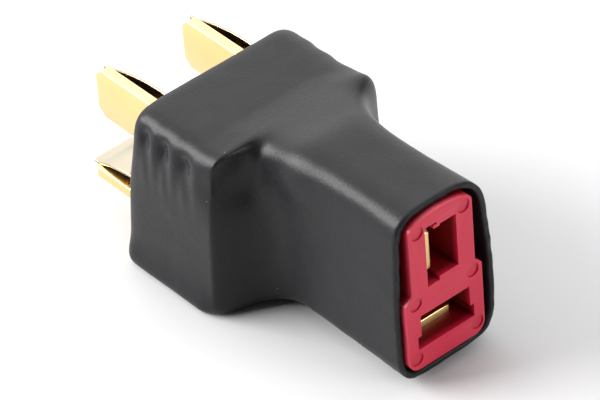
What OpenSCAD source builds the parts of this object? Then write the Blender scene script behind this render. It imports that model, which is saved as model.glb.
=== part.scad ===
// Parallel battery adapter: one flat-blade socket feeding two flat-blade plugs.
// The socket and both plugs are soldered tail to tail through two copper bridges,
// and one shrunk sleeve wraps all three housings. Nothing on it moves.
// X runs along the adapter with the socket at the positive end, Y across the two
// plugs and Z up. The origin is the middle of the underside.

/* [Socket housing] */
// Width of the socket housing across its lower half
socket_w = 8.4; // [7.6:0.1:9.2]
// Height of the socket housing at its top corners
socket_h = 15.1; // [14.9:0.1:16.4]
// Length of the socket housing
socket_len = 13; // [12:0.5:18]
// How far each side steps in above the waist
socket_step = 0.7; // [0.3:0.05:0.9]
// Depth of the two contact slots from the mating face
slot_depth = 10; // [8:0.5:11]
// Clear opening of a slot, square to its blade
slot_gap = 3.4; // [3.2:0.1:3.6]
// Height of the middle of the upper slot or blade above its housing's underside
upper_slot_z = 11.2; // [11:0.05:11.35]
// Height of the lower slot's floor above the housing's underside
lower_slot_z = 2.1; // [1.8:0.1:2.2]
// Diameter of the ejector pin marks in the mating face
pin_mark_d = 1.35; // [1:0.05:1.5]
// Depth of the ejector pin marks
pin_mark_depth = 0.15; // [0.05:0.05:0.3]

/* [Plug housings] */
// Width of each plug housing across its lower half
plug_w = 8.4; // [7.8:0.1:8.6]
// Height of each plug housing at its top corners
plug_h = 14.5; // [14.3:0.1:15.2]
// Length of each plug housing
plug_len = 8.8; // [8.6:0.2:12]
// How far each side steps in above the waist
plug_step = 0.8; // [0.3:0.05:1]
// Distance between the middles of the two plugs
plug_pitch = 9.6; // [9:0.1:11]
// Distance between neighbouring grip grooves
groove_pitch = 2.4; // [2:0.1:2.6]
// Width of a grip groove
groove_w = 1.2; // [0.8:0.1:1.4]
// Depth of a grip groove
groove_depth = 0.35; // [0.1:0.05:0.4]

/* [Both housings] */
// Height of the waist, where the sides start to step in
waist_z = 7.3; // [7:0.1:7.5]
// Height of the slanted step itself
waist_slant = 0.7; // [0.4:0.1:0.9]
// How far the arched top rises above its corners
crown = 0.5; // [0.2:0.1:0.8]
// Radius of the lower corners
foot_r = 1.2; // [0.6:0.1:1.6]
// Radius of the upper corners
brow_r = 0.7; // [0.4:0.1:1]

/* [Contacts] */
// Width of a plug blade
blade_w = 5; // [4.6:0.1:5.1]
// Thickness of a plug blade
blade_t = 1; // [0.8:0.05:1.1]
// How far the blades reach out of the plug housings
blade_reach = 9.1; // [7:0.1:10]
// Cut-off at each corner of a blade's tip
blade_corner = 1.05; // [0.5:0.05:1.3]
// Bevel across the thickness of a blade's tip
blade_bevel = 0.3; // [0.1:0.05:0.35]
// Distance from the middle of a plug to the outer face of its upper blade
blade_offset = 1.1; // [0.9:0.05:1.3]
// Thickness of a leaf spring
spring_t = 0.25; // [0.15:0.05:0.35]
// Width of a leaf spring
spring_w = 4.3; // [3.8:0.1:4.5]
// How far a leaf spring bows off its blade
spring_bow = 1.05; // [0.6:0.05:1.1]
// Length of a leaf spring along its blade
spring_len = 13.4; // [12:0.1:14]
// Width of a socket contact
contact_w = 5.6; // [5.3:0.1:5.7]
// Thickness of a socket contact
contact_t = 0.9; // [0.7:0.05:1]
// How far the upper socket contact sits behind the mating face
upper_recess = 0.6; // [0.3:0.1:2]
// How far the lower socket contact sits behind the mating face
lower_recess = 1.8; // [0.5:0.1:2.5]
// Width of every solder tail
tail_w = 3; // [2.4:0.1:3.2]

/* [Joints inside] */
// Space between the socket housing and the plug housings
joint_gap = 6.8; // [6:0.1:8.5]
// Distance from the plug housings to the copper bridges
bridge_back = 0.2; // [0.1:0.05:0.3]
// Thickness of the copper bridges
bridge_t = 0.5; // [0.4:0.05:0.6]
// Width of the lower bridge along its tails
bridge_w = 1; // [0.8:0.05:1.1]
// Height of the upper bridge, which stands on edge
bridge_h = 2.4; // [1.8:0.1:2.8]
// How much of each outer tail the lower bridge covers
bridge_lap = 1.8; // [1.2:0.1:2]
// Size of a solder fillet
solder_r = 0.35; // [0.25:0.05:0.45]

/* [Sleeve] */
// Wall of the shrunk sleeve
sleeve_wall = 0.5; // [0.45:0.05:0.8]
// Clearance between the sleeve and the housings
sleeve_fit = 0.06; // [0.04:0.01:0.15]
// How far the sleeve hangs slack below the plug housings
sleeve_slack = 0.25; // [0:0.05:0.4]
// How far the sleeve hangs slack below the socket's face
end_slack = 0.85; // [0:0.05:1]
// How much wider the slack makes the sleeve at the foot of the plugs
foot_splay = 0.4; // [0:0.05:0.6]
// How far the socket's face stands proud of the sleeve
socket_proud = 0.6; // [0.2:0.1:0.8]
// How far the sleeve reaches past the plug housings at its underside
rim_reach = 1.1; // [0.5:0.1:1.2]
// How far the plug end of the sleeve is drawn back at its top
rim_rake = 1; // [0:0.1:1]
// How far the sleeve turns in past the ends of the plug housings
rim_turn = 0.6; // [0.2:0.05:0.8]
// How far the sleeve stands off the socket on its far side
stand_off = 1.2; // [0:0.05:1.4]
// Depth of the dimples over the grip grooves
dimple_depth = 0.32; // [0:0.02:0.34]

/* [Hidden] */

nylon_red = [0.83, 0.12, 0.24];
gold = [0.9, 0.72, 0.3];
spring_gold = [0.86, 0.74, 0.45];
copper = [0.78, 0.45, 0.3];
tin = [0.74, 0.75, 0.77];
sleeve_black = [0.2, 0.2, 0.21];

// Places along X, from the plug blades' tips to the socket's face
total_len = socket_len + joint_gap + plug_len + blade_reach;
face_x = total_len / 2;
socket_back_x = face_x - socket_len;
plug_back_x = socket_back_x - joint_gap;
plug_face_x = plug_back_x - plug_len;
tip_x = -total_len / 2;
bridge_from = plug_back_x + bridge_back;
bridge_to = bridge_from + bridge_w;
upper_bridge_x = plug_back_x + bridge_back / 2 + solder_r + bridge_t / 2;

// Height of the plug housings' undersides, with the sleeve hanging slack below them
base_z = sleeve_wall + sleeve_fit + sleeve_slack;

// The socket sits one blade's thickness higher, which makes the three level tails flush on top
socket_z = base_z + blade_t;

// Slots of the socket: a wide pocket for the contact and a passage for the blade
pocket_play = 0.3;
passage_play = 0.2;
pocket_w = contact_w + 2 * pocket_play;
passage_w = blade_w + 2 * passage_play;
pocket_t = contact_t + 0.4;
contact_corner = 0.9;
tooth = 0.35;

// Upper surface of the lower socket contact, which the lower plug blades share
lower_top_z = socket_z + lower_slot_z + contact_t;
upper_contact_y = -slot_gap / 2;
tail_room = 0.02;
seat_len = 0.05 * spring_len;
tip_inset = 0.2 * blade_t;
over = 0.5;

function unit(v) = v / norm(v);
function smooth(t) = let (c = min(1, max(0, t))) c * c * (3 - 2 * c);
function mix(a, b, t) = a + (b - a) * t;
function arc(cy, cz, r, from, to, n) =
    [for (i = [0:n]) let (a = from + (to - from) * i / n) [cy + r * cos(a), cz + r * sin(a)]];

// Stepped outline of a housing in Y and Z, standing on Z = 0
function housing_outline(w, h, step) = let (
    lower = w / 2,
    upper = w / 2 - step,
    steps = 8
) concat(
    arc(lower - foot_r, foot_r, foot_r, -90, 0, 5),
    [[lower, waist_z], [upper, waist_z + waist_slant]],
    arc(upper - brow_r, h - brow_r, brow_r, 0, 60, 4),
    [for (i = [1:steps - 1])
        let (t = 1 - 2 * i / steps)
        [t * (upper - brow_r / 2), h + crown * (1 - t * t)]],
    arc(-upper + brow_r, h - brow_r, brow_r, 120, 180, 4),
    [[-upper, waist_z + waist_slant], [-lower, waist_z]],
    arc(-lower + foot_r, foot_r, foot_r, 180, 270, 5)
);

// Extrudes a Y-Z outline along X from one place to another
module along_x(from, to) {
    translate([from, 0, 0])
        rotate([90, 0, 90])
            linear_extrude(height = to - from)
                children();
}

// A mouth seen square to its blade: u runs along the slot and v across it from the contact's wall
module slot_section() {
    translate([-pocket_w / 2, 0])
        square([pocket_w, pocket_t]);
    translate([-passage_w / 2, 0])
        square([passage_w, slot_gap]);
}

// The small tooth left in the mouth where the pocket meets the passage
module slot_tooth() {
    translate([passage_w / 2 - tooth / 2, pocket_t - tooth])
        square([tooth, 2 * tooth]);
}

module upper_slot_section() {
    translate([upper_contact_y, socket_z + upper_slot_z])
        multmatrix([[0, 1, 0, 0], [1, 0, 0, 0], [0, 0, 1, 0]])
            difference() {
                slot_section();
                slot_tooth();
            }
}

module lower_slot_section() {
    translate([0, socket_z + lower_slot_z])
        slot_section();
}

// Places of the six ejector pin marks in Y and Z above the housing's underside
function pin_marks() = [
    for (side = [-1, 1])
        for (place = [[socket_w / 2 - 0.85, 1.2], [socket_w / 2 - 1.05, waist_z - 0.3],
                      [socket_w / 2 - socket_step - 0.95, socket_h - 0.85]])
            [side * place[0], socket_z + place[1]]
];

module socket_housing() {
    color(nylon_red)
        difference() {
            along_x(socket_back_x, face_x)
                translate([0, socket_z])
                    polygon(housing_outline(socket_w, socket_h, socket_step));
            along_x(face_x - slot_depth, face_x + over)
                upper_slot_section();
            along_x(face_x - slot_depth, face_x + over)
                lower_slot_section();
            along_x(socket_back_x - over, face_x - slot_depth + over)
                tail_section_upper(tail_room);
            along_x(socket_back_x - over, face_x - slot_depth + over)
                tail_section_lower(tail_room);
            for (mark = pin_marks())
                translate([face_x - pin_mark_depth, mark[0], mark[1]])
                    rotate([0, 90, 0])
                        cylinder(d = pin_mark_d, h = pin_mark_depth + over, $fn = 32);
        }
}

// Sections of the two solder tails of the socket, grown by a clearance
module tail_section_upper(room) {
    translate([upper_contact_y - room, socket_z + upper_slot_z - tail_w / 2 - room])
        square([contact_t + 2 * room, tail_w + 2 * room]);
}

module tail_section_lower(room) {
    translate([-tail_w / 2 - room, socket_z + lower_slot_z - room])
        square([tail_w + 2 * room, contact_t + 2 * room]);
}

// A flat contact along +X from its tail: a narrow tail, a wide body and two cut-off corners
module contact_blank(tail_from, body_from, front, width, corner, thickness) {
    linear_extrude(height = thickness)
        polygon([
            [tail_from, -tail_w / 2], [body_from, -tail_w / 2], [body_from, -width / 2],
            [front - corner, -width / 2], [front, -width / 2 + corner],
            [front, width / 2 - corner], [front - corner, width / 2],
            [body_from, width / 2], [body_from, tail_w / 2], [tail_from, tail_w / 2]
        ]);
}

module socket_contact_upper() {
    color(gold)
        translate([0, upper_contact_y + contact_t, socket_z + upper_slot_z])
            rotate([90, 0, 0])
                contact_blank(upper_bridge_x + bridge_t / 2, face_x - slot_depth,
                              face_x - upper_recess, contact_w, contact_corner, contact_t);
}

module socket_contact_lower() {
    color(gold)
        translate([0, 0, socket_z + lower_slot_z])
            contact_blank(bridge_from, face_x - slot_depth,
                          face_x - lower_recess, contact_w, contact_corner, contact_t);
}

// A plug blade lying flat with its inner face up at Z = 0 and its tip towards -X
module blade_blank(tail_to) {
    intersection() {
        translate([0, 0, -blade_t])
            mirror([1, 0, 0])
                contact_blank(-tail_to, -plug_back_x, -tip_x, blade_w, blade_corner, blade_t);
        rotate([90, 0, 0])
            translate([0, 0, -blade_w])
                linear_extrude(height = 2 * blade_w)
                    polygon([
                        [tip_x, -blade_bevel], [tip_x, -blade_t + blade_bevel],
                        [tip_x + blade_bevel, -blade_t], [tail_to, -blade_t],
                        [tail_to, 0], [tip_x + blade_bevel, 0]
                    ]);
    }
}

// Height of the leaf spring's underside above the blade, at a distance from its front end
function spring_rise(s) =
    let (t = (s - seat_len) / (spring_len - 2 * seat_len))
    t <= 0 || t >= 1 ? 0 : spring_bow * (1 - pow(abs(2 * t - 1), 2.5));

// The leaf spring over a blade that lies flat with its inner face at Z = 0
module spring_blank() {
    steps = 30;
    path = [for (i = [0:steps]) spring_len * i / steps];
    lower = [for (s = path) [tip_x + tip_inset + s, spring_rise(s)]];
    upper = [for (i = [steps:-1:0]) lower[i] + [0, spring_t]];
    rotate([90, 0, 0])
        translate([0, 0, -spring_w / 2])
            linear_extrude(height = spring_w)
                polygon(concat(lower, upper));
}

// Room in the plug housing for a spring over its blade, seen as the blade lies flat
module spring_room() {
    depth = tip_x + tip_inset + spring_len + tail_room - plug_face_x;
    translate([plug_face_x - over, -spring_w / 2 - passage_play, -tail_room])
        cube([depth + over, spring_w + 2 * passage_play, spring_bow + spring_t + passage_play]);
}

// Turns a flat blade's shapes into the upper, upright blade of the plug at a side
module place_upper(side) {
    translate([0, side * plug_pitch / 2 - blade_offset + blade_t, base_z + upper_slot_z])
        rotate([-90, 0, 0])
            children();
}

// Carries a flat blade's shapes to the lower, level blade of the plug at a side
module place_lower(side) {
    translate([0, side * plug_pitch / 2, lower_top_z])
        children();
}

// Hole in a plug housing that a blade is pressed through
module blade_room() {
    translate([plug_face_x - over, -blade_w / 2 - tail_room, -blade_t - tail_room])
        cube([plug_len + 2 * over, blade_w + 2 * tail_room, blade_t + 2 * tail_room]);
}

// Upright grip grooves in both sides of a plug housing, above its waist
module grip_grooves() {
    for (i = [-1:1])
        for (side = [-1, 1])
            translate([groove_x(i), side * (plug_w / 2 - plug_step), base_z + waist_z + waist_slant])
                translate([-groove_w / 2, -groove_depth, 0])
                    cube([groove_w, 2 * groove_depth, plug_h - waist_z - waist_slant - 2 * brow_r]);
}

function groove_x(i) = (plug_face_x + plug_back_x) / 2 + (i - 0.25) * groove_pitch;

module plug_housing(side) {
    difference() {
        translate([0, side * plug_pitch / 2, 0])
            difference() {
                along_x(plug_face_x, plug_back_x)
                    translate([0, base_z])
                        polygon(housing_outline(plug_w, plug_h, plug_step));
                grip_grooves();
            }
        place_upper(side) {
            blade_room();
            spring_room();
        }
        place_lower(side) {
            blade_room();
            spring_room();
        }
    }
}

module left_plug_housing() { color(nylon_red) plug_housing(-1); }

module right_plug_housing() { color(nylon_red) plug_housing(1); }

module left_blade_upper() { color(gold) place_upper(-1) blade_blank(upper_bridge_x - bridge_t / 2); }

module left_blade_lower() { color(gold) place_lower(-1) blade_blank(bridge_to); }

module right_blade_upper() { color(gold) place_upper(1) blade_blank(upper_bridge_x - bridge_t / 2); }

module right_blade_lower() { color(gold) place_lower(1) blade_blank(bridge_to); }

module left_spring_upper() { color(spring_gold) place_upper(-1) spring_blank(); }

module left_spring_lower() { color(spring_gold) place_lower(-1) spring_blank(); }

module right_spring_upper() { color(spring_gold) place_upper(1) spring_blank(); }

module right_spring_lower() { color(spring_gold) place_lower(1) spring_blank(); }

// Height of the middle of the upper bridge, halfway between the plugs' tails and the socket's
upper_bridge_z = base_z + upper_slot_z + blade_t / 2;

// The upper bridge stands on edge between the ends of the three upright tails
module upper_bridge() {
    first = -plug_pitch / 2 - blade_offset;
    last = plug_pitch / 2 - blade_offset + blade_t;
    color(copper)
        translate([upper_bridge_x - bridge_t / 2, first, upper_bridge_z - bridge_h / 2])
            cube([bridge_t, last - first, bridge_h]);
}

// How far the lower bridge reaches from the middle, over part of each outer tail
bridge_reach = plug_pitch / 2 - tail_w / 2 + bridge_lap;

// The lower bridge lies across the three level tails
module lower_bridge() {
    color(copper)
        translate([bridge_from, -bridge_reach, lower_top_z])
            cube([bridge_w, 2 * bridge_reach, bridge_t]);
}

// A concave solder fillet in the corner of two square faces, drawn in the first quadrant
module fillet_section() {
    difference() {
        square(solder_r);
        translate([solder_r, solder_r])
            circle(r = solder_r, $fn = 32);
    }
}

// An upright fillet in the corner of the upper bridge and a tail, turned to its quadrant
module upright_fillet(x, y, turn) {
    translate([x, y, upper_bridge_z - bridge_h / 2])
        rotate([0, 0, turn])
            linear_extrude(height = bridge_h)
                fillet_section();
}

module solder_socket_upper() {
    x = upper_bridge_x + bridge_t / 2;
    color(tin) {
        upright_fillet(x, upper_contact_y + contact_t, 0);
        upright_fillet(x, upper_contact_y, 270);
    }
}

// The fillet on the inner side of a plug's upright tail, where the sleeve leaves room
module solder_left_upper() {
    color(tin)
        upright_fillet(upper_bridge_x - bridge_t / 2,
                       -plug_pitch / 2 - blade_offset + blade_t, 90);
}

module solder_right_upper() {
    color(tin)
        upright_fillet(upper_bridge_x - bridge_t / 2, plug_pitch / 2 - blade_offset, 180);
}

// The fillet along the lower bridge's edge on top of the socket's tail
module solder_socket_lower() {
    color(tin)
        translate([bridge_to, tail_w / 2, lower_top_z])
            rotate([90, 0, 0])
                linear_extrude(height = tail_w)
                    fillet_section();
}

// The fillet at one end of the lower bridge, on top of a plug's tail
module solder_end(side) {
    mirror([0, side < 0 ? 1 : 0, 0])
        translate([bridge_from, bridge_reach, lower_top_z])
            rotate([90, 0, 90])
                linear_extrude(height = bridge_w)
                    fillet_section();
}

module solder_left_lower() { color(tin) solder_end(-1); }

module solder_right_lower() { color(tin) solder_end(1); }

// Inside sizes of the sleeve where it wraps the plugs and where it wraps the socket
plug_half = plug_pitch / 2 + plug_w / 2 + sleeve_fit;
plug_brow = plug_half - 0.8 * plug_step;
socket_half = socket_w / 2 + sleeve_fit;
socket_brow = socket_half - 0.6 * socket_step;
plug_top = plug_h + crown + sleeve_fit;
socket_top = socket_h + crown + sleeve_fit;
rim_curl = 0.6 * sleeve_wall;
neck_soft = 0.4;
foot_neck = joint_gap - 0.8;
brow_neck = 0.3 * foot_neck;
far_neck = joint_gap + 3;
rise_lead = 1.5;
rise_len = joint_gap + rise_lead - 0.1;
flare_len = 9;

// A soft corner at b between the directions of a and c, reaching d along each
function bend(a, b, c, d, n) = let (
    p = b + d * unit(a - b),
    q = b + d * unit(c - b)
) [for (i = [0:n]) let (t = i / n) (1 - t) * (1 - t) * p + 2 * t * (1 - t) * b + t * t * q];

// Evenly spaced points strictly between two points
function between(a, b, n) = [for (i = [1:n]) mix(a, b, i / (n + 1))];

// One ring of the sleeve in Y and Z, grown outward by g. The inside half widths at the
// waist and at the brow and the corner sizes come as pairs for the near and the far side,
// and seat is the height of the housing's underside
function ring(seat, waist, half_brow, splay, bottom, top, brow, foot, g) = let (
    z0 = bottom - g,
    zt = top + g,
    zm = seat + waist_z,
    bl = [-waist[0] - splay - g, z0],
    br = [waist[1] + splay + g, z0],
    ml = [-waist[0] - g, zm],
    mr = [waist[1] + g, zm],
    tl = [-half_brow[0] - g, zt],
    tr = [half_brow[1] + g, zt],
    right = concat(bend(bl, br, mr, foot[1] + g, 5), between(br + (foot[1] + g) * unit(mr - br), mr, 1),
                   bend(br, mr, tr, 1.2, 2)),
    left = concat(bend(tl, ml, bl, 1.2, 2), between(ml, bl + (foot[0] + g) * unit(ml - bl), 1),
                  bend(ml, bl, br, foot[0] + g, 5)),
    brow_right = bend(mr, tr, tl, brow[1] + g, 6),
    brow_left = bend(tr, tl, ml, brow[0] + g, 6)
) concat(
    right, between(right[len(right) - 1], brow_right[0], 4), brow_right,
    between(brow_right[6], brow_left[0], 5),
    brow_left, between(brow_left[6], left[0], 4), left,
    between(left[len(left) - 1], right[0], 3)
);

// From 0 on the plug section to 1 on the socket section: a soft corner, then a long hollow.
// The outside starts later by a part of the wall, so that the steep corner keeps its wall
function neck(x, len, g) = let (
    s = max(0, x - plug_back_x - 0.7 * g),
    eased = s < 2 * neck_soft ? s * s / (4 * neck_soft) : s - neck_soft
) 1 - pow(1 - min(1, eased / len), 2.5);

function flare(x) = smooth((x - face_x + flare_len) / flare_len);

// The top climbs to a crease over the back edge of the socket housing
function rise(x) = pow(min(1, max(0, (x - plug_back_x + rise_lead) / rise_len)), 1.3);

// The sleeve's ring at x: g is 0 inside and the wall outside
function sleeve_ring(x, g) = let (
    climb = smooth((x - plug_back_x) / joint_gap),
    seat = base_z + blade_t * climb,
    foot = neck(x, foot_neck, g),
    brow = neck(x, brow_neck, g),
    back = neck(x, far_neck, g),
    end = flare(x),
    off = stand_off * end,
    slack = mix(sleeve_slack, 0, climb) + end_slack * end
) ring(
    seat,
    [mix(plug_half, socket_half, foot), mix(plug_half, socket_half, back) + off],
    [mix(plug_brow, socket_brow, brow), mix(plug_brow, socket_brow, back) + off - 0.3 * end],
    foot_splay * (1 - foot),
    seat - sleeve_fit - slack,
    base_z + mix(plug_top, blade_t + socket_top, rise(x)),
    [mix(1.6, 2.1, foot), mix(2.1, 3.2, end)],
    [mix(1.5, 1, foot) + end, mix(1.5, 1, foot) + 1.6 * end],
    g
);

// Dimples press into the outside where it crosses a grip groove, just under the brow,
// and each trails down into a shallow groove
function dimple(x, z) = let (
    up = z - (base_z + plug_h - 1.5),
    spot = exp(-pow(up / 0.8, 2)),
    trail = up > 0 ? spot : exp(-pow(up / 3.2, 2))
) dimple_depth * (0.6 * spot + 0.4 * trail) * max([for (i = [-1:1]) exp(-pow((x - groove_x(i)) / 0.5, 2))]);

// The plug end is raked: its rim lies further back at the top than at the underside
function raked(x, z) = let (
    t = smooth((plug_back_x - x) / (plug_back_x - plug_face_x + rim_reach))
) x + rim_rake * t * z / (base_z + plug_top);

function quarter(t) = 1 - sqrt(1 - pow(min(1, max(0, t)), 2));

// How far a point moves in: the whole wall turns in past the housings, the outside curls to its edge
function turned_in(x, rx, g) = rim_turn * quarter((plug_face_x - sleeve_fit - rx) / rim_reach)
    + (g > 0 ? rim_curl * quarter((plug_face_x + rim_curl - x) / (rim_reach + rim_curl)) : 0);

function place_point(x, p, g) = let (
    rx = raked(x, p[1]),
    d = g > 0 && abs(p[0]) > plug_half - plug_step - 0.8 ? dimple(rx, p[1]) : 0,
    middle = [0, base_z + plug_h / 2],
    q = middle + (p - middle) * (1 - turned_in(x, rx, g) / plug_half)
) [rx, q[0] - sign(q[0]) * d, q[1]];

// Places of the rings: close together over the rim, the grooves and the neck
rim_x = plug_face_x - rim_reach;
neck_end = plug_back_x + joint_gap - 0.12;
hollow_end = plug_back_x + far_neck + neck_soft;
stations = concat(
    [rim_x, rim_x + 0.12, rim_x + 0.35, rim_x + 0.75, rim_x + 1.2],
    [for (i = [-5:6]) groove_x(0) + i * groove_pitch / 4],
    [plug_back_x - 0.4],
    [for (i = [0:10]) mix(plug_back_x, neck_end, pow(i / 10, 1.6))],
    [for (i = [1:3]) mix(neck_end, hollow_end, i / 3)],
    [for (i = [1:5]) mix(hollow_end, face_x - socket_proud, i / 5)]
);

module heat_shrink_sleeve() {
    rings = len(stations);
    outer = [for (x = stations) [for (p = sleeve_ring(x, sleeve_wall)) place_point(x, p, 1)]];
    inner = [for (x = stations) [for (p = sleeve_ring(x, 0)) place_point(x, p, 0)]];
    n = len(outer[0]);
    points = concat([for (r = outer) each r], [for (r = inner) each r]);
    base = rings * n;
    skin_out = [for (k = [0:rings - 2]) for (i = [0:n - 1]) let (j = (i + 1) % n)
        each [[k * n + i, (k + 1) * n + i, (k + 1) * n + j], [k * n + i, (k + 1) * n + j, k * n + j]]];
    skin_in = [for (f = skin_out) [base + f[0], base + f[2], base + f[1]]];
    end_a = [for (i = [0:n - 1]) let (j = (i + 1) % n)
        each [[i, j, base + j], [i, base + j, base + i]]];
    last = (rings - 1) * n;
    end_b = [for (f = end_a) [last + f[0], last + f[2], last + f[1]]];
    color(sleeve_black)
        polyhedron(points = points, faces = concat(skin_out, skin_in, end_a, end_b), convexity = 6);
}

heat_shrink_sleeve();
socket_housing();
socket_contact_upper();
socket_contact_lower();
left_plug_housing();
right_plug_housing();
left_blade_upper();
left_blade_lower();
right_blade_upper();
right_blade_lower();
left_spring_upper();
left_spring_lower();
right_spring_upper();
right_spring_lower();
upper_bridge();
lower_bridge();
solder_socket_upper();
solder_socket_lower();
solder_left_upper();
solder_left_lower();
solder_right_upper();
solder_right_lower();
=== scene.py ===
import math

import bpy
from mathutils import Matrix, Vector, noise


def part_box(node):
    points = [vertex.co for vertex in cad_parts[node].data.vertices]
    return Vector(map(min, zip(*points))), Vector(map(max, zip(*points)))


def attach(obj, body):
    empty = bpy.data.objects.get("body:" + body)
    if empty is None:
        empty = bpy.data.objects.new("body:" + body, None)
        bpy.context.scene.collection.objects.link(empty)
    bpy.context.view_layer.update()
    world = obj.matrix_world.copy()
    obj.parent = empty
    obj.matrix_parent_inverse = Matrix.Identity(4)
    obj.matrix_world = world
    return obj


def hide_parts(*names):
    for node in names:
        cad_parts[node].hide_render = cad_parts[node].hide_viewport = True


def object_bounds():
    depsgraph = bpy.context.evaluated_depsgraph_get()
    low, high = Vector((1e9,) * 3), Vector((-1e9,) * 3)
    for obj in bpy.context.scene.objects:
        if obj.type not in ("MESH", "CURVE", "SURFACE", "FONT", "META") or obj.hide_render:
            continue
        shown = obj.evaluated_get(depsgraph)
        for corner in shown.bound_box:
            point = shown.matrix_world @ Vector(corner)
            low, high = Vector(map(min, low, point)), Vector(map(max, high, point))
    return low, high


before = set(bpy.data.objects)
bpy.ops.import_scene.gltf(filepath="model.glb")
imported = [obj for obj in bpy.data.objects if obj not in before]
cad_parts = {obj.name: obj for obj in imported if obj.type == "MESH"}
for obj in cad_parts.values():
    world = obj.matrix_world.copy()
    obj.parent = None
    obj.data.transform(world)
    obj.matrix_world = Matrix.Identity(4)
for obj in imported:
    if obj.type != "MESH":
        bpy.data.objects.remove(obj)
cad_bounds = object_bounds()

MM = 0.001
scene = bpy.context.scene
scene.view_settings.view_transform = "Standard"

# Corners of the pieces that give the others their places
PLUG_LOW, PLUG_HIGH = (Vector(corner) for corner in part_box("left_plug_housing"))
SOCKET_LOW, SOCKET_HIGH = (Vector(corner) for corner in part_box("socket_housing"))
SLEEVE_LOW, SLEEVE_HIGH = (Vector(corner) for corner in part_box("heat_shrink_sleeve"))

# Camera: long lens, fitted to the corners of the socket's face and to the blades
IMAGE_W = 600
IMAGE_H = 400
SENSOR_MM = 36
FOCAL_PX = 5947
CAMERA_DISTANCE = 500 * MM
CAMERA_AZIMUTH = 51.88
CAMERA_ELEVATION = 39.39
CAMERA_ROLL = -4.59
AIM = Vector((0.85, 0, 9.31)) * MM
AIM_PX = (300.47, 185.25)


def deselect_all():
    if bpy.context.mode != "OBJECT":
        bpy.ops.object.mode_set(mode="OBJECT")
    bpy.ops.object.select_all(action="DESELECT")


def make_active(obj):
    deselect_all()
    obj.select_set(True)
    bpy.context.view_layer.objects.active = obj


def apply_all(obj):
    make_active(obj)
    for modifier in list(obj.modifiers):
        bpy.ops.object.modifier_apply(modifier=modifier.name)


def add_camera():
    azimuth = math.radians(CAMERA_AZIMUTH)
    elevation = math.radians(CAMERA_ELEVATION)
    roll = math.radians(CAMERA_ROLL)
    back = Vector((math.sin(azimuth) * math.cos(elevation),
                   -math.cos(azimuth) * math.cos(elevation), math.sin(elevation)))
    level = Vector((math.cos(azimuth), math.sin(azimuth), 0))
    upright = back.cross(level)
    right = level * math.cos(roll) + upright * math.sin(roll)
    up = upright * math.cos(roll) - level * math.sin(roll)
    px = CAMERA_DISTANCE / FOCAL_PX
    place = AIM + back * CAMERA_DISTANCE
    place -= right * (AIM_PX[0] - IMAGE_W / 2) * px
    place += up * (AIM_PX[1] - IMAGE_H / 2) * px
    data = bpy.data.cameras.new("camera")
    data.sensor_width = SENSOR_MM
    data.lens = FOCAL_PX / IMAGE_W * SENSOR_MM
    data.clip_start = 0.01
    camera = bpy.data.objects.new("camera", data)
    scene.collection.objects.link(camera)
    turn = Matrix((right, up, back)).transposed()
    camera.matrix_world = Matrix.Translation(place) @ turn.to_4x4()
    scene.camera = camera


add_camera()


# Materials: the mottle's scale is a share of the grain's, and only some cells hold a speck
MOTTLE_SHARE = 0.12
SPECK_SHARE = 0.28
PORE_DEPTH = 0.03 * MM


def new_material(name):
    material = bpy.data.materials.new(name)
    material.use_nodes = True
    nodes = material.node_tree.nodes
    return material, nodes, material.node_tree.links, nodes["Principled BSDF"]


def add_node(nodes, kind, **inputs):
    node = nodes.new(kind)
    for name, value in inputs.items():
        node.inputs[name.replace("_", " ")].default_value = value
    return node


def make_grain_group():
    """Skin grain and a broader mottle, both values from 0 to 1, at a given scale."""
    group = bpy.data.node_groups.new("surface_grain", "ShaderNodeTree")
    group.interface.new_socket("Scale", in_out="INPUT", socket_type="NodeSocketFloat")
    group.interface.new_socket("Grain", in_out="OUTPUT", socket_type="NodeSocketFloat")
    group.interface.new_socket("Mottle", in_out="OUTPUT", socket_type="NodeSocketFloat")
    nodes = group.nodes
    links = group.links
    start = nodes.new("NodeGroupInput")
    end = nodes.new("NodeGroupOutput")
    coords = nodes.new("ShaderNodeTexCoord")
    fine = add_node(nodes, "ShaderNodeTexNoise", Detail=3, Roughness=0.6)
    broad_scale = nodes.new("ShaderNodeMath")
    broad_scale.operation = "MULTIPLY"
    broad_scale.inputs[1].default_value = MOTTLE_SHARE
    broad = add_node(nodes, "ShaderNodeTexNoise", Detail=2)
    links.new(coords.outputs["Object"], fine.inputs["Vector"])
    links.new(coords.outputs["Object"], broad.inputs["Vector"])
    links.new(start.outputs["Scale"], fine.inputs["Scale"])
    links.new(start.outputs["Scale"], broad_scale.inputs[0])
    links.new(broad_scale.outputs[0], broad.inputs["Scale"])
    links.new(fine.outputs["Fac"], end.inputs["Grain"])
    links.new(broad.outputs["Fac"], end.inputs["Mottle"])
    return group


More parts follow.
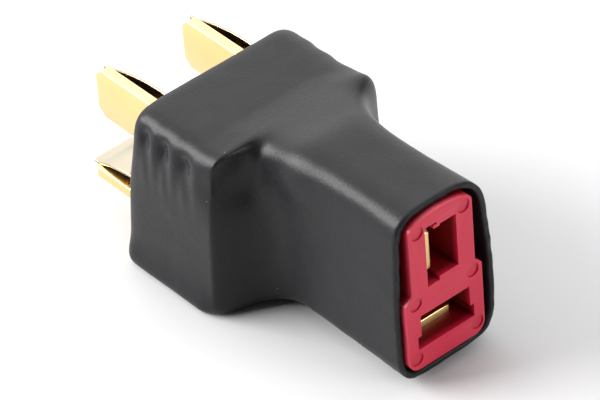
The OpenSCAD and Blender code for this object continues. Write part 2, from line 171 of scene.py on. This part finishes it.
def make_speck_group():
    """Sparse specks: a mask that is 1 on each speck. Size is its radius in cells."""
    group = bpy.data.node_groups.new("dust_specks", "ShaderNodeTree")
    group.interface.new_socket("Scale", in_out="INPUT", socket_type="NodeSocketFloat")
    group.interface.new_socket("Size", in_out="INPUT", socket_type="NodeSocketFloat")
    group.interface.new_socket("Mask", in_out="OUTPUT", socket_type="NodeSocketFloat")
    nodes = group.nodes
    links = group.links
    start = nodes.new("NodeGroupInput")
    end = nodes.new("NodeGroupOutput")
    coords = nodes.new("ShaderNodeTexCoord")
    cells = nodes.new("ShaderNodeTexVoronoi")
    near = nodes.new("ShaderNodeMath")
    near.operation = "LESS_THAN"
    pick = nodes.new("ShaderNodeSeparateColor")
    few = nodes.new("ShaderNodeMath")
    few.operation = "GREATER_THAN"
    few.inputs[1].default_value = 1 - SPECK_SHARE
    both = nodes.new("ShaderNodeMath")
    both.operation = "MULTIPLY"
    links.new(coords.outputs["Object"], cells.inputs["Vector"])
    links.new(start.outputs["Scale"], cells.inputs["Scale"])
    links.new(cells.outputs["Distance"], near.inputs[0])
    links.new(start.outputs["Size"], near.inputs[1])
    links.new(cells.outputs["Color"], pick.inputs[0])
    links.new(pick.outputs[0], few.inputs[0])
    links.new(near.outputs[0], both.inputs[0])
    links.new(few.outputs[0], both.inputs[1])
    links.new(both.outputs[0], end.inputs["Mask"])
    return group


grain_group = make_grain_group()
speck_group = make_speck_group()


def add_group(nodes, group, **inputs):
    node = nodes.new("ShaderNodeGroup")
    node.node_tree = group
    for name, value in inputs.items():
        node.inputs[name].default_value = value
    return node


def mix_colours(nodes, links, factor, first, second):
    """Blends two colours, each three numbers or another node's output."""
    mix = nodes.new("ShaderNodeMix")
    mix.data_type = "RGBA"
    for socket, colour in (("A", first), ("B", second)):
        if isinstance(colour, tuple):
            mix.inputs[socket].default_value = (*colour, 1)
        else:
            links.new(colour, mix.inputs[socket])
    links.new(factor, mix.inputs["Factor"])
    return mix.outputs["Result"]


def spread(nodes, links, value, low, high):
    """Maps a value from 0 to 1 onto the range from low to high."""
    remap = nodes.new("ShaderNodeMapRange")
    remap.inputs["To Min"].default_value = low
    remap.inputs["To Max"].default_value = high
    links.new(value, remap.inputs["Value"])
    return remap.outputs["Result"]


def bump(nodes, links, height, strength, distance):
    node = add_node(nodes, "ShaderNodeBump", Strength=strength, Distance=distance)
    links.new(height, node.inputs["Height"])
    return node.outputs["Normal"]


# Film: nearly black, with dim specks of dust and a few brighter flecks of lint
FILM_SHEEN = 0.22
FILM_ROUGH = (0.24, 0.46)
FILM_DARK = (0.009, 0.009, 0.0105)
FILM_PALE = (0.014, 0.014, 0.0155)
FILM_GRAIN = 4200
FILM_BUMP = 0.7
DUST_SCALE = 2600
DUST_SIZE = 0.13
DUST_COLOUR = (0.035, 0.035, 0.034)
LINT_SCALE = 520
LINT_SIZE = 0.022
LINT_COLOUR = (0.22, 0.22, 0.21)


def shrunk_film():
    """Black shrunk film: nearly all of its look is a soft, grainy sheen."""
    material, nodes, links, shader = new_material("shrunk_film")
    grain = add_group(nodes, grain_group, Scale=FILM_GRAIN)
    dust = add_group(nodes, speck_group, Scale=DUST_SCALE, Size=DUST_SIZE)
    lint = add_group(nodes, speck_group, Scale=LINT_SCALE, Size=LINT_SIZE)
    body = mix_colours(nodes, links, grain.outputs["Mottle"], FILM_DARK, FILM_PALE)
    dusted = mix_colours(nodes, links, dust.outputs["Mask"], body, DUST_COLOUR)
    flecked = mix_colours(nodes, links, lint.outputs["Mask"], dusted, LINT_COLOUR)
    links.new(flecked, shader.inputs["Base Color"])
    links.new(spread(nodes, links, grain.outputs["Grain"], *FILM_ROUGH), shader.inputs["Roughness"])
    links.new(bump(nodes, links, grain.outputs["Grain"], FILM_BUMP, PORE_DEPTH), shader.inputs["Normal"])
    shader.inputs["Specular IOR Level"].default_value = FILM_SHEEN
    return material


# Nylon: painted shade, a dark red standing in for the shade down in the slots, takes over between these
# two depths behind the socket's face
NYLON_DARK = (0.54, 0.003, 0.034)
NYLON_PALE = (0.62, 0.005, 0.046)
NYLON_PAINTED_SHADE = (0.17, 0.0006, 0.0022)
NYLON_ROUGH = (0.3, 0.44)
NYLON_SHEEN = 0.6
NYLON_GRAIN = 2600
NYLON_BUMP = 0.15
SLOT_SHADE_START = 0.1 * MM
SLOT_SHADE_END = 0.7 * MM


def red_nylon():
    """Moulded nylon: pinkish on the flat faces, with painted shade: a darker red painted down in the
    slots.
    """
    material, nodes, links, shader = new_material("red_nylon")
    grain = add_group(nodes, grain_group, Scale=NYLON_GRAIN)
    coords = nodes.new("ShaderNodeTexCoord")
    parts = nodes.new("ShaderNodeSeparateXYZ")
    # painted shade: a mask that rises with depth behind the socket's face
    slot_shade_mask = nodes.new("ShaderNodeMapRange")
    slot_shade_mask.inputs["From Min"].default_value = SOCKET_HIGH.x - SLOT_SHADE_START
    slot_shade_mask.inputs["From Max"].default_value = SOCKET_HIGH.x - SLOT_SHADE_END
    links.new(coords.outputs["Object"], parts.inputs[0])
    links.new(parts.outputs["X"], slot_shade_mask.inputs["Value"])
    face = mix_colours(nodes, links, grain.outputs["Mottle"], NYLON_DARK, NYLON_PALE)
    # painted shade: the red is darkened towards the deep colour down in the slots
    body = mix_colours(nodes, links, slot_shade_mask.outputs["Result"], face, NYLON_PAINTED_SHADE)
    links.new(body, shader.inputs["Base Color"])
    links.new(spread(nodes, links, grain.outputs["Grain"], *NYLON_ROUGH), shader.inputs["Roughness"])
    links.new(bump(nodes, links, grain.outputs["Grain"], NYLON_BUMP, PORE_DEPTH), shader.inputs["Normal"])
    shader.inputs["Specular IOR Level"].default_value = NYLON_SHEEN
    return material


# Metals
METAL_BUMP = 0.12
METAL_PORE_DEPTH = 0.02 * MM


def plated_metal(name, light, deep, rough, grain_scale):
    """Bare or plated metal, mottled between two colours."""
    material, nodes, links, shader = new_material(name)
    grain = add_group(nodes, grain_group, Scale=grain_scale)
    body = mix_colours(nodes, links, grain.outputs["Mottle"], light, deep)
    links.new(body, shader.inputs["Base Color"])
    links.new(spread(nodes, links, grain.outputs["Grain"], *rough), shader.inputs["Roughness"])
    pores = bump(nodes, links, grain.outputs["Grain"], METAL_BUMP, METAL_PORE_DEPTH)
    links.new(pores, shader.inputs["Normal"])
    shader.inputs["Metallic"].default_value = 1
    return material


# Floor paper
FLOOR_GREY = (0.64, 0.64, 0.645)
FLOOR_PALE = (0.66, 0.66, 0.665)
FLOOR_CLOUD = 30
FLOOR_ROUGH = 0.8
FLOOR_SHEEN = 0.1


def paper_floor():
    material, nodes, links, shader = new_material("paper_floor")
    coords = nodes.new("ShaderNodeTexCoord")
    cloud = add_node(nodes, "ShaderNodeTexNoise", Scale=FLOOR_CLOUD, Detail=2)
    links.new(coords.outputs["Object"], cloud.inputs["Vector"])
    paper = mix_colours(nodes, links, cloud.outputs["Fac"], FLOOR_GREY, FLOOR_PALE)
    links.new(paper, shader.inputs["Base Color"])
    shader.inputs["Roughness"].default_value = FLOOR_ROUGH
    shader.inputs["Specular IOR Level"].default_value = FLOOR_SHEEN
    return material


FILM = shrunk_film()
NYLON = red_nylon()
GOLD = plated_metal("gold_plate", (0.95, 0.71, 0.33), (0.88, 0.62, 0.25), (0.14, 0.3), 2600)
SPRING = plated_metal("spring_plate", (0.46, 0.42, 0.33), (0.39, 0.34, 0.25), (0.1, 0.22), 2200)
COPPER = plated_metal("bare_copper", (0.86, 0.46, 0.3), (0.74, 0.34, 0.2), (0.25, 0.45), 1800)
TIN = plated_metal("frozen_solder", (0.82, 0.83, 0.85), (0.66, 0.67, 0.7), (0.2, 0.4), 3000)


# Pieces: copies of the solids with rounded edges, apart from the bridges and the solder
MERGE_DISTANCE = 0.002 * MM
FLAT_ANGLE = math.radians(0.8)
EDGE_ANGLE = math.radians(25)
EDGE_SMOOTHING = math.radians(35)
EDGE_SEGMENTS = 3
HOUSING_EDGE = 0.06 * MM
CONTACT_EDGE = 0.08 * MM
SPRING_EDGE = 0.04 * MM


def merged_copy(node, name):
    """A new object with the node's mesh, its loose triangles joined at their corners."""
    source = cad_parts[node]
    mesh = source.data.copy()
    mesh.materials.clear()
    piece = bpy.data.objects.new(name, mesh)
    scene.collection.objects.link(piece)
    make_active(piece)
    bpy.ops.object.mode_set(mode="EDIT")
    bpy.ops.mesh.select_all(action="SELECT")
    bpy.ops.mesh.remove_doubles(threshold=MERGE_DISTANCE)
    bpy.ops.mesh.normals_make_consistent(inside=False)
    bpy.ops.object.mode_set(mode="OBJECT")
    return piece


def make_flats_whole(piece):
    """Joins the triangles of each flat face, so that a bevel meets clean edges."""
    make_active(piece)
    bpy.ops.object.mode_set(mode="EDIT")
    bpy.ops.mesh.select_all(action="SELECT")
    bpy.ops.mesh.dissolve_limited(angle_limit=FLAT_ANGLE)
    bpy.ops.object.mode_set(mode="OBJECT")


def soften_edges(piece, width):
    bevel = piece.modifiers.new("bevel", "BEVEL")
    bevel.width = width
    bevel.segments = EDGE_SEGMENTS
    bevel.limit_method = "ANGLE"
    bevel.angle_limit = EDGE_ANGLE
    apply_all(piece)
    bpy.ops.object.shade_smooth_by_angle(angle=EDGE_SMOOTHING)


def finish_piece(piece, node, material):
    piece.data.materials.append(material)
    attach(piece, "root")
    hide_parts(node)


def dress(node, material, width):
    piece = merged_copy(node, node + "_finished")
    make_flats_whole(piece)
    soften_edges(piece, width)
    finish_piece(piece, node, material)


def paint(node, material):
    node.data.materials.clear()
    node.data.materials.append(material)


# Sleeve: places on it come from the housings that it is shrunk over
SECTION_MIDDLE_Z = (PLUG_LOW.z + PLUG_HIGH.z) / 2
GROOVE_PITCH = 2.4 * MM
GROOVE_MIDDLE = (PLUG_LOW.x + PLUG_HIGH.x) / 2 - 0.6 * MM
GROOVES = [GROOVE_MIDDLE + step * GROOVE_PITCH for step in (-1, 0, 1)]
GROOVE_WIDTH = 0.5 * MM
DENT_DEPTH = 0.34 * MM
FOLD_HEIGHT = 0.10 * MM
HOLLOW_DEPTH = 0.7 * MM
BROW_HEIGHT = 0.55 * MM
BACK_REACH = 0.85 * MM
SHOULDER_HEIGHT = 0.25 * MM
FOOT_DEPTH = 0.7 * MM
FOOT_CORNER = Vector((0, -0.78, -0.62))
RIM_REACH = 0.4 * MM
RIM_LENGTH = 3 * MM
CUT_DEPTH = 1.2 * MM
CREASE_ANGLE = math.radians(55)
CREASE_STRENGTH = 0.8
SLEEVE_SUBDIVISION = 2
SLEEVE_SMOOTHING = math.radians(50)
RELAX_STEPS = 60


def bell(distance, width):
    """1 in the middle, falling smoothly to nothing a few widths away."""
    return math.exp(-(distance / width) ** 2)


def ease(t):
    """0 below 0 and 1 above 1, with a smooth rise between."""
    t = min(1, max(0, t))
    return t * t * (3 - 2 * t)


def ripple(place, size):
    """Smooth unevenness from -1 to 1 with lumps of about the given size."""
    return noise.noise(place / size)


def film_relief(place):
    """How far the shrunk film stands off its plain shape at a place on its outside."""
    relief = 0.05 * MM * ripple(place, 4.5 * MM) + 0.02 * MM * ripple(place, 1.6 * MM)
    beside = ease((abs(place.y) - (-PLUG_LOW.y - 2.2 * MM)) / (1.2 * MM))
    under_brow = PLUG_HIGH.z - 1.5 * MM - place.z
    for middle in GROOVES:
        at_groove = bell(place.x - middle, GROOVE_WIDTH)
        between = bell(place.x - middle - GROOVE_PITCH / 2, GROOVE_WIDTH)
        dent = at_groove * bell(under_brow, 0.8 * MM)
        fold = between * bell(under_brow - 1 * MM, 2.4 * MM)
        trail = at_groove * bell(under_brow - 2.8 * MM, 1.7 * MM)
        relief += beside * (FOLD_HEIGHT * (fold + trail) - DENT_DEPTH * dent)
    return relief


def neck_hollow(place):
    """How far the film is drawn in under the near shoulder, where nothing holds it out."""
    near = ease((-place.y - 3.5 * MM) / (3 * MM))
    along = bell(place.x - (PLUG_HIGH.x + 1.5 * MM), 1.7 * MM)
    return HOLLOW_DEPTH * near * along * bell(place.z - (PLUG_HIGH.z - 2.5 * MM), 2.1 * MM)


def brow_swell(place):
    """How far the near brow stands out where the film runs onto the socket housing."""
    near = ease((-place.y - 2 * MM) / (2 * MM))
    along = bell(place.x - (SOCKET_LOW.x - 0.5 * MM), 2.8 * MM)
    return BROW_HEIGHT * near * along * bell(place.z - (SOCKET_HIGH.z - 2.2 * MM), 2.4 * MM)


def back_shift(place):
    """How far the film reaches back past the plugs before it turns in to the neck."""
    beside = ease((abs(place.y) - 4 * MM) / (3 * MM))
    return BACK_REACH * beside * bell(place.x - PLUG_HIGH.x, 2.4 * MM)


def shoulder_bulge(place):
    """How far the far shoulder is pushed out by the corner of the housing inside."""
    far = ease((place.y - 4 * MM) / (3 * MM))
    along = bell(place.x - (PLUG_HIGH.x + 1.0 * MM), 1.9 * MM)
    return SHOULDER_HEIGHT * far * along * bell(place.z - PLUG_HIGH.z, 4 * MM)


def foot_fill(place):
    """How far the film fills out its lower corner along the near plug."""
    beside = bell(place.z - 0.8 * MM, 1.3 * MM) * bell(place.y - SLEEVE_LOW.y - 0.5 * MM, 1.6 * MM)
    return FOOT_DEPTH * beside * (1 - ease((place.x - PLUG_HIGH.x + 1.2 * MM) / (2 * MM)))


def rim_reach(place):
    """How much further the rim by the blades reaches out below than above."""
    by_rim = 1 - ease((place.x - SLEEVE_LOW.x) / RIM_LENGTH)
    return RIM_REACH * by_rim * (1 - ease((place.z - 8 * MM) / (5 * MM)))


def cut_unevenness(place):
    """How far the cut edge by the socket strays along X at a place on it."""
    around = Vector((0.02, place.y, place.z))
    return 0.10 * MM * ripple(around, 1.3 * MM) + 0.04 * MM * ripple(around, 0.45 * MM)


def relax_neck(piece):
    """Lets the film between the housings run in soft curves."""
    group = piece.vertex_groups.new(name="neck")
    for vertex in piece.data.vertices:
        start = ease((vertex.co.x - PLUG_HIGH.x - 0.2 * MM) / (1.6 * MM))
        reach = 8 * MM if vertex.co.y < 0 else 0
        stop = 1 - ease((vertex.co.x - SOCKET_LOW.x) / (2.5 * MM + reach))
        above = ease((vertex.co.z - 6 * MM) / (5 * MM))
        group.add([vertex.index], start * stop * above, "REPLACE")
    relax = piece.modifiers.new("relax", "SMOOTH")
    relax.factor = 0.5
    relax.iterations = RELAX_STEPS
    relax.vertex_group = "neck"
    apply_all(piece)


def shrink_sleeve():
    """The film as one smooth skin, with the relief of the shrinking moved into its mesh."""
    piece = merged_copy("heat_shrink_sleeve", "shrunk_sleeve")
    bpy.ops.object.mode_set(mode="EDIT")
    bpy.ops.mesh.select_all(action="SELECT")
    bpy.ops.mesh.tris_convert_to_quads(face_threshold=math.radians(60), shape_threshold=math.radians(80))
    bpy.ops.mesh.select_all(action="DESELECT")
    bpy.ops.mesh.select_mode(type="EDGE")
    bpy.ops.mesh.edges_select_sharp(sharpness=CREASE_ANGLE)
    bpy.ops.transform.edge_crease(value=CREASE_STRENGTH)
    bpy.ops.object.mode_set(mode="OBJECT")
    smoother = piece.modifiers.new("smoother", "SUBSURF")
    smoother.levels = SLEEVE_SUBDIVISION
    smoother.render_levels = SLEEVE_SUBDIVISION
    apply_all(piece)
    mesh = piece.data
    normals = [vertex.normal.copy() for vertex in mesh.vertices]
    for vertex, normal in zip(mesh.vertices, normals):
        place = vertex.co.copy()
        outside = normal.y * place.y + normal.z * (place.z - SECTION_MIDDLE_Z) > 0
        outward = normal if outside else -normal
        vertex.co += outward * (shoulder_bulge(place) + brow_swell(place) - neck_hollow(place))
        vertex.co.x += back_shift(place)
        if outside:
            vertex.co += normal * film_relief(place) + FOOT_CORNER * foot_fill(place)
            vertex.co.z = max(vertex.co.z, SLEEVE_LOW.z)
        near_cut = ease((place.x - SLEEVE_HIGH.x) / CUT_DEPTH + 1)
        vertex.co.x += near_cut * cut_unevenness(place) - rim_reach(place)
    relax_neck(piece)
    bpy.ops.object.shade_smooth_by_angle(angle=SLEEVE_SMOOTHING)
    finish_piece(piece, "heat_shrink_sleeve", FILM)


shrink_sleeve()
for housing in ("socket_housing", "left_plug_housing", "right_plug_housing"):
    dress(housing, NYLON, HOUSING_EDGE)
for contact in ("socket_contact_upper", "socket_contact_lower", "left_blade_upper", "left_blade_lower",
                "right_blade_upper", "right_blade_lower"):
    dress(contact, GOLD, CONTACT_EDGE)
for leaf in ("left_spring_upper", "left_spring_lower", "right_spring_upper", "right_spring_lower"):
    dress(leaf, SPRING, SPRING_EDGE)
for name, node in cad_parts.items():
    if "bridge" in name:
        paint(node, COPPER)
    if "solder" in name:
        paint(node, TIN)


# Floor, light and background
FLOOR_SIZE = 3
LIT_POINT = (0, 0, 0.008)
LEFT_BOX = {"place": (-0.30, -0.32, 0.24), "size": (0.36, 0.30), "power": 4.6}
RIGHT_BOX = {"place": (0.42, 0.18, 0.22), "size": (0.26, 0.26), "power": 1.1}
BRIGHT_SIDE = (-0.6, 0.36, 0.71)
DOME_DIM = 0.07
DOME_BRIGHT = 2.2
DOME_EDGES = (0.3, 0.95)


def add_floor():
    deselect_all()
    bpy.ops.mesh.primitive_plane_add(size=FLOOR_SIZE, location=(0, 0, cad_bounds[0][2]))
    floor = bpy.context.object
    floor.name = "floor"
    floor.data.materials.append(paper_floor())


def add_softbox(name, place, size, power):
    data = bpy.data.lights.new(name, "AREA")
    data.shape = "RECTANGLE"
    data.size = size[0]
    data.size_y = size[1]
    data.energy = power
    lamp = bpy.data.objects.new(name, data)
    scene.collection.objects.link(lamp)
    place = Vector(place)
    facing = (Vector(LIT_POINT) - place).to_track_quat("-Z", "Y")
    lamp.matrix_world = Matrix.Translation(place) @ facing.to_matrix().to_4x4()


def set_world():
    """White behind the object; what lights it is bright at the back left and dim elsewhere."""
    world = bpy.data.worlds.new("studio")
    scene.world = world
    world.use_nodes = True
    nodes = world.node_tree.nodes
    links = world.node_tree.links
    coords = nodes.new("ShaderNodeTexCoord")
    towards = nodes.new("ShaderNodeVectorMath")
    towards.operation = "DOT_PRODUCT"
    towards.inputs[1].default_value = BRIGHT_SIDE
    links.new(coords.outputs["Generated"], towards.inputs[0])
    dome = nodes.new("ShaderNodeMapRange")
    dome.interpolation_type = "SMOOTHSTEP"
    dome.inputs["From Min"].default_value = DOME_EDGES[0]
    dome.inputs["From Max"].default_value = DOME_EDGES[1]
    dome.inputs["To Min"].default_value = DOME_DIM
    dome.inputs["To Max"].default_value = DOME_BRIGHT
    links.new(towards.outputs["Value"], dome.inputs["Value"])
    paths = nodes.new("ShaderNodeLightPath")
    level = nodes.new("ShaderNodeMix")
    links.new(paths.outputs["Is Camera Ray"], level.inputs["Factor"])
    links.new(dome.outputs["Result"], level.inputs["A"])
    level.inputs["B"].default_value = 1.0
    background = nodes["Background"]
    background.inputs["Color"].default_value = (1, 1, 1, 1)
    links.new(level.outputs["Result"], background.inputs["Strength"])


add_floor()
add_softbox("left_box", **LEFT_BOX)
add_softbox("right_box", **RIGHT_BOX)
set_world()
